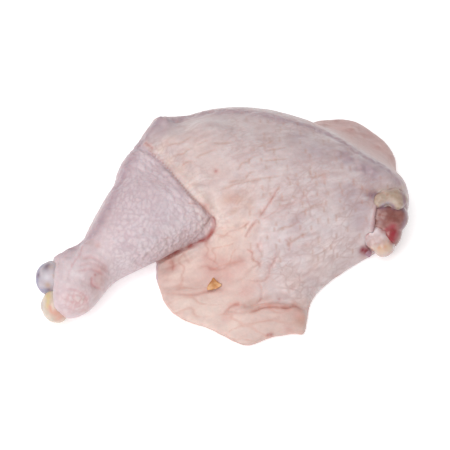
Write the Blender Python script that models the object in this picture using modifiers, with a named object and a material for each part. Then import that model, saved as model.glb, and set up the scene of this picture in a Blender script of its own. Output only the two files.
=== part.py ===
"""A raw chicken leg quarter, lying skin side up: the drumstick folded against the thigh, the loose skin
spread in front of it, the shank bone's end showing at the hock and the thigh bone's head at the hip cut.

Metres, +Z up. X runs from the hock to the hip, and the leg lies on Z = 0.
"""

import math

import bmesh
import bpy
import numpy as np
from mathutils import Matrix, Vector
from mathutils.bvhtree import BVHTree

# Driving dimensions.
MM = 0.001
SKIN_EDGE = 3.4  # mm, thickness of the loose skin at its edge, with the fat under it
GAP = 0.3 * MM  # clearance between pieces that touch
BOX_CENTRE = (1.84 * MM, -3.71 * MM)  # middle of the leg's plan, which becomes the origin

# How finely the flesh is worked before it is faceted.
VOXEL = 1.25 * MM
FLESH_TRIANGLES = 7600
AXES = {"use_axis_x": True, "use_axis_y": True, "use_axis_z": True}

# Colours, sRGB hex, and roughness.
SKIN = ("d6c1c0", 0.42)
CARTILAGE = ("c9c6d2", 0.25)
BONE = ("d9c3bd", 0.3)
TENDON = ("dcc7ae", 0.35)
MUSCLE = ("8f5656", 0.3)
FAT = ("cdb994", 0.35)
CUTICLE = ("c98a52", 0.5)

# Every place below is in mm: x towards the hip, y towards the back, z up from the table.
# The skin's edge all round, where it meets the table.
SKIN_OUTLINE = (
    (-35.4, -22.0),
    (-35.0, -38.0),
    (-29.5, -54.0),
    (-19.4, -63.0),
    (-8.4, -67.2),
    (1.5, -73.0),
    (13.0, -78.4),
    (26.0, -73.0),
    (37.0, -71.0),
    (43.6, -71.5),
    (45.6, -59.0),
    (48.5, -49.0),
    (56.5, -39.0),
    (72.0, -27.0),
    (81.0, -21.0),
    (92.0, -12.0),
    (97.0, 0.0),
    (99.0, 15.0),
    (96.0, 33.0),
    (94.0, 48.0),
    (84.2, 60.6),
    (71.0, 70.0),
    (52.0, 68.5),
    (36.0, 60.0),
    (15.0, 58.0),
    (-12.0, 54.0),
    (-34.0, 44.0),
    (-40.0, 22.0),
    (-36.0, 0.0),
)

# Heights of the skin over the thigh, down its slopes and over the loose skin round it.
SKIN_HEIGHTS = (
    (-22.0, 31.0, 39.5),
    (-34.0, 30.0, 34.0),
    (-12.0, 42.0, 38.5),
    (0.0, 24.0, 42.0),
    (24.0, 16.0, 44.0),
    (48.0, 10.0, 42.5),
    (68.0, 4.0, 38.5),
    (84.0, 3.0, 31.5),
    (94.0, 8.0, 26.0),
    (-28.5, 20.0, 35.5),
    (-15.0, 4.5, 33.5),
    (-6.5, -5.0, 31.5),
    (-1.5, -11.5, 28.5),
    (-4.0, 4.0, 36.5),
    (5.0, -11.0, 31.5),
    (20.0, -14.0, 36.5),
    (45.0, -12.0, 37.0),
    (66.0, -12.0, 30.0),
    (80.0, -11.0, 21.5),
    (1.0, -20.0, 23.0),
    (12.0, -27.0, 26.5),
    (32.0, -28.0, 27.5),
    (48.0, -28.0, 23.5),
    (64.0, -23.5, 17.0),
    (-10.0, -28.0, 10.0),
    (2.0, -37.0, 12.0),
    (20.0, -41.0, 14.0),
    (40.0, -40.0, 14.0),
    (-24.0, -36.0, 6.5),
    (-12.0, -48.0, 6.0),
    (4.0, -52.0, 7.0),
    (24.0, -54.0, 9.0),
    (38.0, -52.0, 8.5),
    (-2.0, -62.0, 4.6),
    (10.0, -60.0, 7.6),
    (14.0, -71.0, 4.8),
    (32.0, -65.0, 7.0),
    (0.0, 46.0, 29.0),
    (30.0, 42.0, 30.0),
    (52.0, 34.0, 35.0),
    (68.0, 29.0, 33.5),
    (80.0, 23.0, 29.5),
    (52.0, 50.0, 21.0),
    (66.0, 46.0, 19.0),
    (60.0, 60.0, 9.0),
    (80.0, 40.0, 15.0),
    (90.0, 30.0, 15.0),
)

# Masses that bulge over the table: centre, half sizes, turn about the vertical in degrees.
BULGES = {
    "thigh": ((21.0, 22.0, 17.0), (61.0, 40.0, 24.0), -15.5),
    "knee": ((-28.0, 36.4, 19.5), (17.6, 19.6, 17.0), -30.0),
    "shin": ((-40.5, 18.5, 18.5), (15.5, 25.0, 16.0), -24.0),
    "hip": ((79.4, 5.0, 15.5), (21.2, 24.0, 15.5), -12.0),
}
KNEECAP = ((-33.2, 48.2, 25.0), (5.6, 5.2, 5.2))

# The drumstick from the hock to the calf's blunt end: x, y, z, half width, half height, roll in degrees.
DRUMSTICK = (
    (-87.0, -50.2, 14.2, 13.2, 10.4, 0.0),
    (-84.8, -50.0, 14.2, 16.6, 13.4, 0.0),
    (-79.8, -48.4, 14.4, 17.6, 14.2, 0.0),
    (-75.4, -44.8, 14.6, 15.8, 14.4, 0.0),
    (-70.6, -39.8, 14.8, 14.4, 14.4, 0.0),
    (-63.8, -33.2, 15.0, 13.2, 14.4, 0.0),
    (-55.6, -25.0, 16.6, 17.2, 16.0, 2.0),
    (-46.9, -15.7, 18.0, 21.9, 17.4, 4.0),
    (-38.3, -6.4, 18.6, 25.3, 18.0, 6.0),
    (-30.0, 1.8, 18.4, 28.0, 17.8, 8.0),
    (-23.8, 6.9, 17.8, 28.4, 17.2, 9.0),
    (-20.2, 10.1, 17.2, 27.2, 16.4, 9.0),
    (-18.4, 11.7, 17.0, 24.5, 14.0, 9.0),
)
SQUARENESS = 2.35  # of the drumstick's section: 2 is an ellipse

# Folds pressed into the skin: path in plan, how wide and how deep.
FOLDS = (
    (((-46.0, 32.0), (-33.0, 17.0), (-21.0, 3.0), (-11.0, -9.0), (-4.5, -16.0)), 1.6, 2.2),
    (((-4.5, -13.5), (-9.0, -21.0), (-18.0, -26.5), (-34.0, -32.0)), 2.0, 2.0),
    (((29.0, 2.0), (21.0, -14.0), (15.0, -26.0), (10.0, -38.0)), 2.2, 1.0),
    (((10.0, -58.0), (24.0, -54.0), (36.0, -54.0), (54.0, -57.0)), 2.4, 2.8),
    (((-40.0, -43.5), (-20.0, -42.0), (-9.0, -41.0)), 2.8, 1.4),
    (((-70.0, -24.0), (-76.0, -33.0), (-80.0, -41.0)), 2.2, 1.8),
)
FOLD_RUN_OUT = 0.15  # share of a fold's length over which each end fades

# The cut at the hip, which opens towards the front: a hollow with these pieces in it.
HIP_HOLLOW = ((87.3, -13.6, 21.0), (8.6, 16.6, 15.0), -6.0, -35.0)
HIP_MUSCLE = ((87.4, -6.2, 16.6), (11.0, 10.5, 9.2), -6.0, -35.0)
HIP_MUSCLE_LOBE = ((89.0, -12.2, 11.4), (5.8, 8.6, 8.2))
HIP_FAT = ((87.2, -0.6, 24.8), (11.0, 8.2, 5.2), -4.0, -30.0)

# The thigh bone: its head at the hip cut, its neck, the knob beside it, and the shaft's sections to the knee.
THIGH_BONE_HEAD = ((85.4, -19.8, 9.4), (5.6, 5.2, 5.6))
THIGH_BONE_NECK = ((83.2, -17.4, 10.4), (7.0, 5.6, 6.2))
THIGH_BONE_KNOB = ((81.8, -14.0, 12.2), (7.4, 6.4, 7.0))
THIGH_BONE_SHAFT = (
    (84.0, -17.0, 11.0, 3.6, 3.6),
    (74.0, -11.0, 14.0, 4.6, 4.6),
    (50.0, 0.0, 18.0, 4.2, 4.2),
    (20.0, 12.0, 20.0, 4.2, 4.2),
    (0.0, 20.0, 20.0, 5.4, 5.4),
    (-10.0, 24.0, 20.0, 7.0, 6.6),
)

# The shank bone: the knob of cartilage at the hock, the shaft's sections and the head at the knee.
SHANK_BONE_KNOB = ((-88.6, -44.6, 15.4), (8.0, 8.6, 8.2))
SHANK_BONE_SHAFT = (
    (-86.0, -45.0, 15.5, 5.4, 5.4),
    (-77.0, -43.0, 15.0, 4.4, 4.4),
    (-60.0, -28.0, 15.5, 4.0, 4.0),
    (-42.0, -4.0, 18.0, 4.6, 4.6),
    (-28.0, 14.0, 19.0, 6.6, 6.2),
    (-22.0, 20.0, 19.5, 7.0, 6.6),
)
HOCK_PAD = ((-86.4, -57.8, 9.2), (7.2, 9.0, 8.8), 14.0)

# A scrap of yellow cuticle stuck on the skin: its corners in plan, and how thick it is.
SCRAP_OUTLINE = ((-8.0, -46.3), (-6.4, -42.4), (-4.6, -39.3), (-2.4, -42.0), (0.2, -44.6), (-3.5, -46.8))
SCRAP_THICKNESS = 0.8


def start_clean():
    for thing in list(bpy.data.objects):
        bpy.data.objects.remove(thing)
    kept = bpy.data.collections.new("chicken_leg")
    bpy.context.scene.collection.children.link(kept)
    return kept


def linear(hex_colour):
    """sRGB hex as linear red, green, blue and full alpha."""
    parts = [int(hex_colour[i : i + 2], 16) / 255 for i in (0, 2, 4)]
    return [c / 12.92 if c <= 0.04045 else ((c + 0.055) / 1.055) ** 2.4 for c in parts] + [1.0]


def finish(name, look):
    material = bpy.data.materials.new(name)
    material.use_nodes = True
    shader = material.node_tree.nodes["Principled BSDF"]
    shader.inputs["Base Color"].default_value = linear(look[0])
    shader.inputs["Roughness"].default_value = look[1]
    return material


def new_object(name, mesh, collection):
    thing = bpy.data.objects.new(name, mesh)
    collection.objects.link(thing)
    return thing


def from_bmesh(name, form, collection):
    mesh = bpy.data.meshes.new(name)
    form.to_mesh(mesh)
    form.free()
    return new_object(name, mesh, collection)


def lump(name, collection, centre, half_sizes, turn=0.0, lean=0.0, grow=0.0, sides=20, rings=11):
    """An ellipsoid leaned about its own X and turned about the vertical, and grown by some metres."""
    form = bmesh.new()
    bmesh.ops.create_uvsphere(form, u_segments=sides, v_segments=rings, radius=1.0)
    size = Matrix.Diagonal([h * MM + grow for h in half_sizes] + [1.0])
    turned = Matrix.Rotation(math.radians(turn), 4, "Z") @ Matrix.Rotation(math.radians(lean), 4, "X")
    placed = Matrix.Translation(Vector(centre) * MM) @ turned @ size
    bmesh.ops.transform(form, matrix=placed, verts=form.verts)
    return from_bmesh(name, form, collection)


def smooth_through(points, steps, closed=False):
    """Points on a Catmull-Rom curve through the given points, with this many steps between each pair."""
    points = np.array(points, float)
    count = len(points)
    found = []
    for span in range(count if closed else count - 1):
        picks = [span + k for k in (-1, 0, 1, 2)]
        picks = [k % count if closed else min(max(k, 0), count - 1) for k in picks]
        before, here, there, after = points[picks]
        for t in np.arange(steps) / steps:
            bend = (2 * before - 5 * here + 4 * there - after) * t**2
            twist = (3 * here - before - 3 * there + after) * t**3
            found.append(0.5 * (2 * here + (there - before) * t + bend + twist))
    if not closed:
        found.append(points[-1])
    return np.array(found)


def rounded(value, squareness):
    """A cosine or a sine bent so that an ellipse becomes a squarer oval."""
    return math.copysign(abs(value) ** (2 / squareness), value)


def loft(name, collection, sections, sides, grow=0.0, squareness=2.0):
    """A closed skin over oval sections (x, y, z, half width, half height, roll), grown by some metres."""
    form = bmesh.new()
    rings = []
    last = len(sections) - 1
    for i, section in enumerate(sections):
        before = Vector(sections[max(i - 1, 0)][:3])
        after = Vector(sections[min(i + 1, last)][:3])
        along = (after - before).normalized()
        middle = Vector(section[:3]) * MM + along * grow * ((i == last) - (i == 0))
        across = Vector((0, 0, 1)).cross(along).normalized()
        roll = Matrix.Rotation(math.radians(section[5]) if len(section) > 5 else 0.0, 3, -along)
        across, upward = roll @ across, roll @ along.cross(across)
        ring = []
        for k in range(sides):
            angle = 2 * math.pi * k / sides
            out = across * rounded(math.cos(angle), squareness) * (section[3] * MM + grow)
            up = upward * rounded(math.sin(angle), squareness) * (section[4] * MM + grow)
            ring.append(form.verts.new(middle + out + up))
        rings.append(ring)
    for one, two in zip(rings, rings[1:]):
        for k in range(sides):
            form.faces.new((one[k], two[k], two[(k + 1) % sides], one[(k + 1) % sides]))
    form.faces.new(rings[0])
    form.faces.new(list(reversed(rings[-1])))
    bmesh.ops.recalc_face_normals(form, faces=form.faces)
    return from_bmesh(name, form, collection)


def slab(name, collection, outline, thickness, steps=6):
    """A flat slab on the table with a smooth outline: a filled 2D curve, extruded by half its thickness."""
    curve = bpy.data.curves.new(name, "CURVE")
    curve.dimensions = "2D"
    curve.fill_mode = "BOTH"
    curve.extrude = thickness * MM / 2
    spline = curve.splines.new("POLY")
    points = smooth_through(outline, steps, closed=True) * MM
    spline.points.add(len(points) - 1)
    for point, (x, y) in zip(spline.points, points):
        point.co = (x, y, 0, 1)
    spline.use_cyclic_u = True
    thing = new_object(name, curve, collection)
    thing.location.z = thickness * MM / 2
    return as_mesh(thing, collection)


def as_mesh(thing, collection):
    """The evaluated shape of an object as a plain mesh object of the same name, in world space."""
    bpy.context.view_layer.update()
    mesh = bpy.data.meshes.new_from_object(thing.evaluated_get(bpy.context.evaluated_depsgraph_get()))
    mesh.transform(thing.matrix_world)
    form = bmesh.new()
    form.from_mesh(mesh)
    bmesh.ops.remove_doubles(form, verts=form.verts, dist=0.01 * MM)
    bmesh.ops.recalc_face_normals(form, faces=form.faces)
    form.to_mesh(mesh)
    form.free()
    name = thing.name
    bpy.data.objects.remove(thing)
    return new_object(name, mesh, collection)


def joined(name, pieces, collection):
    """All the pieces in one mesh object, still overlapping."""
    form = bmesh.new()
    for piece in pieces:
        form.from_mesh(piece.data)
        bpy.data.objects.remove(piece)
    return from_bmesh(name, form, collection)


def knead(thing, collection, strokes, more_strokes=0, above=0.0):
    """Makes overlapping masses one skin and softens it, with more strokes above some mm."""
    remesh = thing.modifiers.new("One skin", "REMESH")
    remesh.mode = "VOXEL"
    remesh.voxel_size = VOXEL
    thing = as_mesh(thing, collection)
    form = bmesh.new()
    form.from_mesh(thing.data)
    high = [vertex for vertex in form.verts if vertex.co.z > above * MM]
    for count, picked in ((strokes, form.verts), (more_strokes, high)):
        for _ in range(count):
            bmesh.ops.smooth_vert(form, verts=picked, factor=0.6, **AXES)
    form.to_mesh(thing.data)
    form.free()
    return thing


def places_of(thing):
    """The mesh's points in mm, one row each."""
    places = np.empty(len(thing.data.vertices) * 3, np.float32)
    thing.data.vertices.foreach_get("co", places)
    return places.reshape(-1, 3).astype(float) / MM


def set_places(thing, places):
    thing.data.vertices.foreach_set("co", (places * MM).astype(np.float32).ravel())
    thing.data.update()


def plate_pull(distance):
    """The bend of a thin plate pulled at a point this far away."""
    return distance**2 * np.log(np.maximum(distance, 1e-6))


def bent_plate(spots, at):
    """Heights at plan points of a thin plate bent to pass through the spots (x, y, z), to 0.1 micron."""
    spots = np.array(spots)
    between = np.linalg.norm(spots[:, None, :2] - spots[None, :, :2], axis=2)
    flat = np.column_stack([np.ones(len(spots)), spots[:, :2]])
    system = np.block([[plate_pull(between), flat], [flat.T, np.zeros((3, 3))]])
    pulls = np.linalg.solve(system, np.concatenate([spots[:, 2], np.zeros(3)]))
    reach = np.linalg.norm(at[:, None, :] - spots[None, :, :2], axis=2)
    plane = np.column_stack([np.ones(len(at)), at])
    return np.round(plate_pull(reach) @ pulls[:-3] + plane @ pulls[-3:], 4)


def drape(collection):
    """The skin over the thigh and the loose skin round it: a slab raised to the named heights."""
    flat = slab("drape", collection, SKIN_OUTLINE, SKIN_EDGE)
    skin = knead(flat, collection, 0)
    edge = [(x, y, SKIN_EDGE) for x, y in smooth_through(SKIN_OUTLINE, 2, closed=True)]
    places = places_of(skin)
    heights = bent_plate(list(SKIN_HEIGHTS) + edge, places[:, :2])
    places[:, 2] *= np.maximum(heights, 0.8 * SKIN_EDGE) / SKIN_EDGE
    set_places(skin, places)
    return skin


def press_folds(thing, folds):
    """Presses each fold into the upper side, deepest along its path and fading at its ends."""
    places = places_of(thing)
    normals = np.empty(len(places) * 3, np.float32)
    thing.data.vertices.foreach_get("normal", normals)
    normals = normals.reshape(-1, 3)
    moved = places.copy()
    for path, width, depth in folds:
        line = smooth_through(path, 12)
        away = np.linalg.norm(places[:, None, :2] - line[None, :, :], axis=2)
        nearest = away.argmin(axis=1) / (len(line) - 1)
        fade = np.clip(np.minimum(nearest, 1 - nearest) / FOLD_RUN_OUT, 0, 1)
        press = depth * fade * np.exp(-((away.min(axis=1) / width) ** 2)) * np.clip(normals[:, 2], 0, 1)
        moved -= press[:, None] * normals
    set_places(thing, moved)


def set_down(thing):
    """Flattens what lies under the table's surface, as soft flesh does."""
    places = places_of(thing)
    places[:, 2] = np.maximum(places[:, 2], 0.0)
    set_places(thing, places)


def facet(thing, collection):
    """Collapses the worked flesh to its share of triangles, most of them where it curves."""
    triangles = sum(len(p.vertices) - 2 for p in thing.data.polygons)
    decimate = thing.modifiers.new("Facet", "DECIMATE")
    decimate.ratio = FLESH_TRIANGLES / triangles
    return as_mesh(thing, collection)


def carve(thing, tools, operation, collection):
    """Cuts each tool out of a thing, or fuses it on, and removes the tools."""
    for tool in tools:
        change = thing.modifiers.new(operation.title(), "BOOLEAN")
        change.operation = operation
        change.object = tool
    thing = as_mesh(thing, collection)
    for tool in tools:
        bpy.data.objects.remove(tool)
    return thing


def make_flesh(kept):
    masses = [drape(kept)]
    masses += [lump(name, kept, *mass, sides=48, rings=28) for name, mass in BULGES.items()]
    thigh = knead(joined("thigh", masses, kept), kept, 4, 40, above=14.0)
    drumstick = loft("drumstick", kept, smooth_through(DRUMSTICK, 4).tolist(), 40, squareness=SQUARENESS)
    kneecap = lump("kneecap", kept, *KNEECAP)
    flesh = knead(joined("skin_and_meat", [thigh, drumstick, kneecap], kept), kept, 3)
    press_folds(flesh, FOLDS)
    set_down(flesh)
    return facet(flesh, kept)


def make_bone(name, collection, lumps, shaft, grow=0.0):
    """Knobs at one end fused to a tapering shaft, all grown by some metres."""
    knobs = [lump("knob", collection, *knob, grow=grow, sides=18, rings=10) for knob in lumps]
    bone = loft(name, collection, smooth_through(shaft, 2).tolist(), 14, grow)
    return carve(bone, knobs, "UNION", collection)


def make_thigh_bone(collection, grow=0.0):
    knobs = (THIGH_BONE_HEAD, THIGH_BONE_NECK, THIGH_BONE_KNOB)
    return make_bone("thigh_bone", collection, knobs, THIGH_BONE_SHAFT, grow)


def make_shank_bone(collection, grow=0.0):
    return make_bone("shank_bone", collection, (SHANK_BONE_KNOB,), SHANK_BONE_SHAFT, grow)


def make_hock_pad(collection, grow=0.0):
    return lump("hock_pad", collection, *HOCK_PAD, grow=grow)


def make_hip_muscle(collection, grow=0.0):
    """The round of meat in the cut, with a lobe that runs down beside the bone."""
    lobe = lump("lobe", collection, *HIP_MUSCLE_LOBE, grow=grow)
    return carve(lump("hip_muscle", collection, *HIP_MUSCLE, grow=grow), [lobe], "UNION", collection)


def make_hip_fat(collection, grow=0.0):
    return lump("hip_fat", collection, *HIP_FAT, grow=grow)


def make_scrap(kept, flesh):
    """The scrap of cuticle, lying on the skin with a hair's gap under it."""
    scrap = slab("skin_fleck", kept, SCRAP_OUTLINE, SCRAP_THICKNESS, steps=3)
    form = bmesh.new()
    form.from_mesh(scrap.data)
    bmesh.ops.triangulate(form, faces=form.faces)
    bmesh.ops.subdivide_edges(form, edges=form.edges, cuts=1, use_grid_fill=True)
    form.to_mesh(scrap.data)
    form.free()
    skin = BVHTree.FromObject(flesh, bpy.context.evaluated_depsgraph_get())
    above = 0.1
    for vertex in scrap.data.vertices:
        x, y, z = vertex.co
        vertex.co.z = skin.ray_cast(Vector((x, y, above)), Vector((0, 0, -1)))[0].z + GAP + z
    return scrap


def centre_on_origin(objects):
    for thing in objects:
        thing.data.transform(Matrix.Translation((-BOX_CENTRE[0], -BOX_CENTRE[1], 0.0)))


def main():
    kept = start_clean()
    flesh = make_flesh(kept)
    hollow = lump("hip_hollow", kept, *HIP_HOLLOW, sides=28, rings=18)
    makers = (make_thigh_bone, make_shank_bone, make_hock_pad, make_hip_muscle, make_hip_fat)
    flesh = carve(flesh, [hollow] + [make(kept, GAP) for make in makers], "DIFFERENCE", kept)

    thigh_bone = make_thigh_bone(kept)
    shank_bone = make_shank_bone(kept)
    hock_pad = carve(make_hock_pad(kept), [make_shank_bone(kept, GAP)], "DIFFERENCE", kept)
    hip_muscle = carve(make_hip_muscle(kept), [make_thigh_bone(kept, GAP)], "DIFFERENCE", kept)
    hip_fat = carve(make_hip_fat(kept), [make_hip_muscle(kept, GAP)], "DIFFERENCE", kept)
    scrap = make_scrap(kept, flesh)

    looks = (
        (flesh, "skin", SKIN),
        (thigh_bone, "bone", BONE),
        (shank_bone, "cartilage", CARTILAGE),
        (hock_pad, "tendon", TENDON),
        (hip_muscle, "muscle", MUSCLE),
        (hip_fat, "fat", FAT),
        (scrap, "cuticle", CUTICLE),
    )
    for thing, name, look in looks:
        thing.data.materials.append(finish(name, look))
    centre_on_origin(kept.objects)


if __name__ == "__main__":
    main()
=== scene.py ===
import math
import random

import bmesh
import bpy
import numpy as np
from mathutils import Matrix, Vector, noise
from mathutils.bvhtree import BVHTree
from mathutils.kdtree import KDTree


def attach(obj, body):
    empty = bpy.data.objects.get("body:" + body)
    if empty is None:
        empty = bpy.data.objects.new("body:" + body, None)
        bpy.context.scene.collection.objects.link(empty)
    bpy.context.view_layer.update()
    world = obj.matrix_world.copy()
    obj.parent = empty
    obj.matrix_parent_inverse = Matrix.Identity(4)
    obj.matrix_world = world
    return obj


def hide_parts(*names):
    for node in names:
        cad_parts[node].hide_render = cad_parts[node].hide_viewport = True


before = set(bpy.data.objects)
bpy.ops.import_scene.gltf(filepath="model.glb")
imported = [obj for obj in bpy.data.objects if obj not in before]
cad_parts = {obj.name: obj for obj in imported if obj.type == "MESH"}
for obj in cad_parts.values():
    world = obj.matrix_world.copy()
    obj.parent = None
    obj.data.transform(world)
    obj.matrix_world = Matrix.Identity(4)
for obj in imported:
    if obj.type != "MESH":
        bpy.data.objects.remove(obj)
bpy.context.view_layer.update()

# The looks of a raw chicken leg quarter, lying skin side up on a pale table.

# The photograph's frame, in which every pixel below is given.
PHOTO_SIDE = 450
PIXEL_MM = 0.5376  # real width of a pixel at the leg
AIM_PIXEL = (222, 225)  # the pixel that looks at the aim
AIM = Vector((-0.00184, 0.00371, 0.0))  # on the table, under the thigh
LOOK_DOWN = math.radians(55)
DISTANCE = 1.2
SENSOR_MM = 36.0
MM = 0.001

# How fine the meshes are, in mm.
SKIN_MESH = 0.71
PAD_MESH = 0.45

# Folds and creases: the pixels that each runs through, its width and depth in mm, and how red its bottom is.
FOLDS = (
    (((279, 187), (275, 193), (269, 203), (262, 213), (258, 219)), 0.45, 0.45, 0.8),
    (((259, 218), (252, 226), (248, 232), (245, 238)), 0.6, 0.5, 0.9),
    (((217, 237), (224, 236), (229, 232), (238, 229), (244, 226), (251, 220)), 0.5, 0.3, 0.6),
    (((258, 220), (267, 217), (276, 211), (284, 206), (293, 203), (301, 199), (309, 193)), 0.5, 0.3, 0.35),
    (((144, 142), (149, 146), (153, 150)), 0.7, 0.5, 1.0),
    (((140, 151), (148, 154), (156, 158)), 0.6, 0.3, 0.5),
    (((154, 160), (163, 170), (170, 181)), 0.6, 0.3, 0.3),
    (((83, 246), (80, 254), (74, 262), (71, 268)), 0.6, 0.5, 0.75),
    (((71, 267), (69, 275), (69, 283)), 0.9, 0.25, 0.35),
    (((82, 259), (90, 257), (100, 262), (108, 269)), 0.9, 0.3, 0.6),
    (((78, 266), (90, 263), (101, 267), (110, 274)), 0.8, 0.2, 0.5),
    (((75, 272), (90, 269), (100, 273), (109, 280)), 0.8, 0.3, 0.8),
    (((92, 276), (92, 284), (98, 288), (106, 290)), 0.7, 0.2, 0.8),
    (((66, 289), (75, 290), (84, 295), (88, 303), (87, 311)), 0.6, 0.15, 0.7),
    (((187, 203), (195, 204), (202, 206), (207, 213)), 0.6, 0.4, 0.8),
    (((196, 213), (202, 216), (206, 222)), 0.5, 0.35, 0.5),
    (((192, 222), (199, 224), (204, 229)), 0.5, 0.3, 0.4),
    (((202, 207), (205, 210), (208, 214)), 1.0, 0.7, 1.0),
    (((203, 226), (208, 222), (211, 217)), 0.6, 0.4, 0.6),
    (((160, 258), (167, 257), (173, 263), (172, 271)), 0.8, 0.4, 0.8),
    (((181, 251), (186, 258), (190, 263)), 0.7, 0.3, 0.3),
    (((160, 281), (175, 279), (190, 280), (203, 281)), 1.2, 0.3, 0.2),
    (((166, 293), (180, 294), (195, 294), (206, 291), (216, 290), (230, 291)), 1.0, 0.4, 0.55),
    (((196, 268), (205, 266), (212, 269), (222, 269), (229, 264), (240, 261), (247, 259)), 1.0, 0.4, 0.5),
    (((248, 313), (257, 309), (262, 307), (272, 306), (285, 307), (296, 306), (302, 309)), 0.9, 1.3, 1.0),
    (((249, 311), (240, 313), (228, 311), (222, 314)), 0.7, 0.3, 0.35),
    (((250, 322), (262, 319), (276, 318), (288, 320)), 1.2, 0.3, 0.2),
    (((246, 249), (252, 253), (252, 259), (259, 263), (260, 268)), 0.5, 0.4, 0.7),
    (((277, 248), (275, 260), (270, 268), (269, 275), (263, 281), (248, 281)), 0.6, 0.35, 0.6),
    (((203, 244), (208, 250), (206, 256), (215, 262), (219, 266)), 0.5, 0.3, 0.5),
    (((224, 312), (231, 306), (240, 303)), 0.8, 0.35, 0.65),
    (((262, 297), (258, 303), (250, 307), (242, 306)), 0.6, 0.35, 0.6),
    (((258, 281), (262, 290), (261, 297)), 0.6, 0.3, 0.35),
    (((236, 282), (245, 276), (254, 268), (262, 262)), 0.6, 0.25, 0.25),
    (((282, 300), (296, 285), (309, 272), (320, 262)), 0.7, 0.3, 0.2),
    (((262, 240), (259, 247), (261, 253)), 0.5, 0.3, 0.4),
    (((284, 239), (290, 244), (289, 251)), 0.5, 0.3, 0.4),
    (((296, 248), (310, 243), (322, 236)), 0.6, 0.3, 0.25),
)

# Fine wrinkles on the thigh, which rise to the right.
WRINKLES = (
    ((164, 147), (172, 144), (180, 143), (187, 139), (192, 136)),
    ((196, 145), (203, 142), (209, 139)),
    ((171, 157), (178, 155), (184, 154), (187, 150), (194, 148)),
    ((195, 160), (201, 155), (208, 152), (216, 149)),
    ((181, 167), (187, 164), (196, 163)),
    ((213, 143), (222, 143), (232, 142)),
    ((235, 172), (239, 168), (242, 163), (248, 161), (252, 157), (262, 153)),
    ((262, 161), (270, 160), (280, 159), (290, 158)),
    ((246, 179), (248, 174), (254, 171)),
    ((210, 195), (222, 190), (235, 184), (250, 181), (264, 178), (278, 176), (288, 173)),
    ((228, 183), (234, 181), (243, 180)),
    ((254, 147), (262, 145), (270, 142), (275, 138)),
    ((265, 150), (275, 149), (288, 147)),
    ((275, 233), (283, 228), (292, 226), (300, 220)),
    ((286, 246), (298, 238), (312, 230)),
    ((306, 178), (318, 176), (330, 171)),
    ((300, 213), (312, 207), (326, 203)),
)


def linear(hex_colour):
    """sRGB hex as linear red, green, blue and full alpha."""
    parts = [int(hex_colour[i : i + 2], 16) / 255 for i in (0, 2, 4)]
    return [c / 12.92 if c <= 0.04045 else ((c + 0.055) / 1.055) ** 2.4 for c in parts] + [1.0]


def add(tree, kind, inputs=(), **settings):
    """Adds one node to a tree, with its settings, and links or sets its sockets."""
    node = tree.nodes.new(kind)
    for key, value in settings.items():
        setattr(node, key, value)
    for socket, value in dict(inputs).items():
        if isinstance(value, bpy.types.NodeSocket):
            tree.links.new(value, node.inputs[socket])
        else:
            node.inputs[socket].default_value = value
    return node


# Camera


def set_camera():
    data = bpy.data.cameras.new("camera")
    data.sensor_width = SENSOR_MM
    data.lens = SENSOR_MM * DISTANCE / (PHOTO_SIDE * PIXEL_MM * MM)
    data.shift_x = (PHOTO_SIDE / 2 - AIM_PIXEL[0]) / PHOTO_SIDE
    camera = bpy.data.objects.new("camera", data)
    camera.location = AIM + Vector((0.0, -math.cos(LOOK_DOWN), math.sin(LOOK_DOWN))) * DISTANCE
    camera.rotation_euler = (math.pi / 2 - LOOK_DOWN, 0.0, 0.0)
    bpy.context.scene.collection.objects.link(camera)
    bpy.context.scene.camera = camera
    return camera


camera = set_camera()
FORWARD = Vector((0.0, math.cos(LOOK_DOWN), -math.sin(LOOK_DOWN)))
UPWARD = Vector((0.0, math.sin(LOOK_DOWN), math.cos(LOOK_DOWN)))
cad_surfaces = [
    BVHTree.FromObject(node, bpy.context.evaluated_depsgraph_get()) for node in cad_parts.values()
]


def seen_at(x, y):
    """The point of the leg, in mm, that shows at a pixel, or the table's where none does."""
    across = (x - AIM_PIXEL[0]) * PIXEL_MM * MM / DISTANCE
    up = (AIM_PIXEL[1] - y) * PIXEL_MM * MM / DISTANCE
    ray = (FORWARD + Vector((1, 0, 0)) * across + UPWARD * up).normalized()
    hits = [surface.ray_cast(camera.location, ray) for surface in cad_surfaces]
    hits = [hit for hit in hits if hit[0]]
    if hits:
        return min(hits, key=lambda hit: hit[3])[0] / MM
    return (camera.location - ray * camera.location.z / ray.z) / MM


def smooth_through(points, steps):
    """Points on a Catmull-Rom curve through the given points, with this many steps between each pair."""
    points = np.array(points, float)
    last = len(points) - 1
    found = []
    for span in range(last):
        before, here, there, after = points[[max(span - 1, 0), span, span + 1, min(span + 2, last)]]
        for t in np.arange(steps) / steps:
            bend = (2 * before - 5 * here + 4 * there - after) * t**2
            twist = (3 * here - before - 3 * there + after) * t**3
            found.append(0.5 * (2 * here + (there - before) * t + bend + twist))
    return np.array(found + [points[-1]])


def pixels_of(places):
    """The pixel at which the camera sees each place, hidden or not."""
    away = places * MM - np.array(camera.location)
    share = DISTANCE / (away @ np.array(FORWARD)) / (PIXEL_MM * MM)
    across = AIM_PIXEL[0] + away[:, 0] * share
    return np.column_stack([across, AIM_PIXEL[1] - away @ np.array(UPWARD) * share])


def line_on_leg(pixels):
    """A smooth line over the leg through the points that show at these pixels, in mm."""
    return smooth_through([tuple(seen_at(*pixel)) for pixel in pixels], 8)


# Modelling


def pick(thing):
    bpy.ops.object.select_all(action="DESELECT")
    thing.select_set(True)
    bpy.context.view_layer.objects.active = thing


def shape_with(thing, kind, **settings):
    """Adds a modifier and applies it."""
    pick(thing)
    modifier = thing.modifiers.new(kind.title(), kind)
    for key, value in settings.items():
        setattr(modifier, key, value)
    bpy.ops.object.modifier_apply(modifier=modifier.name)


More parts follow.
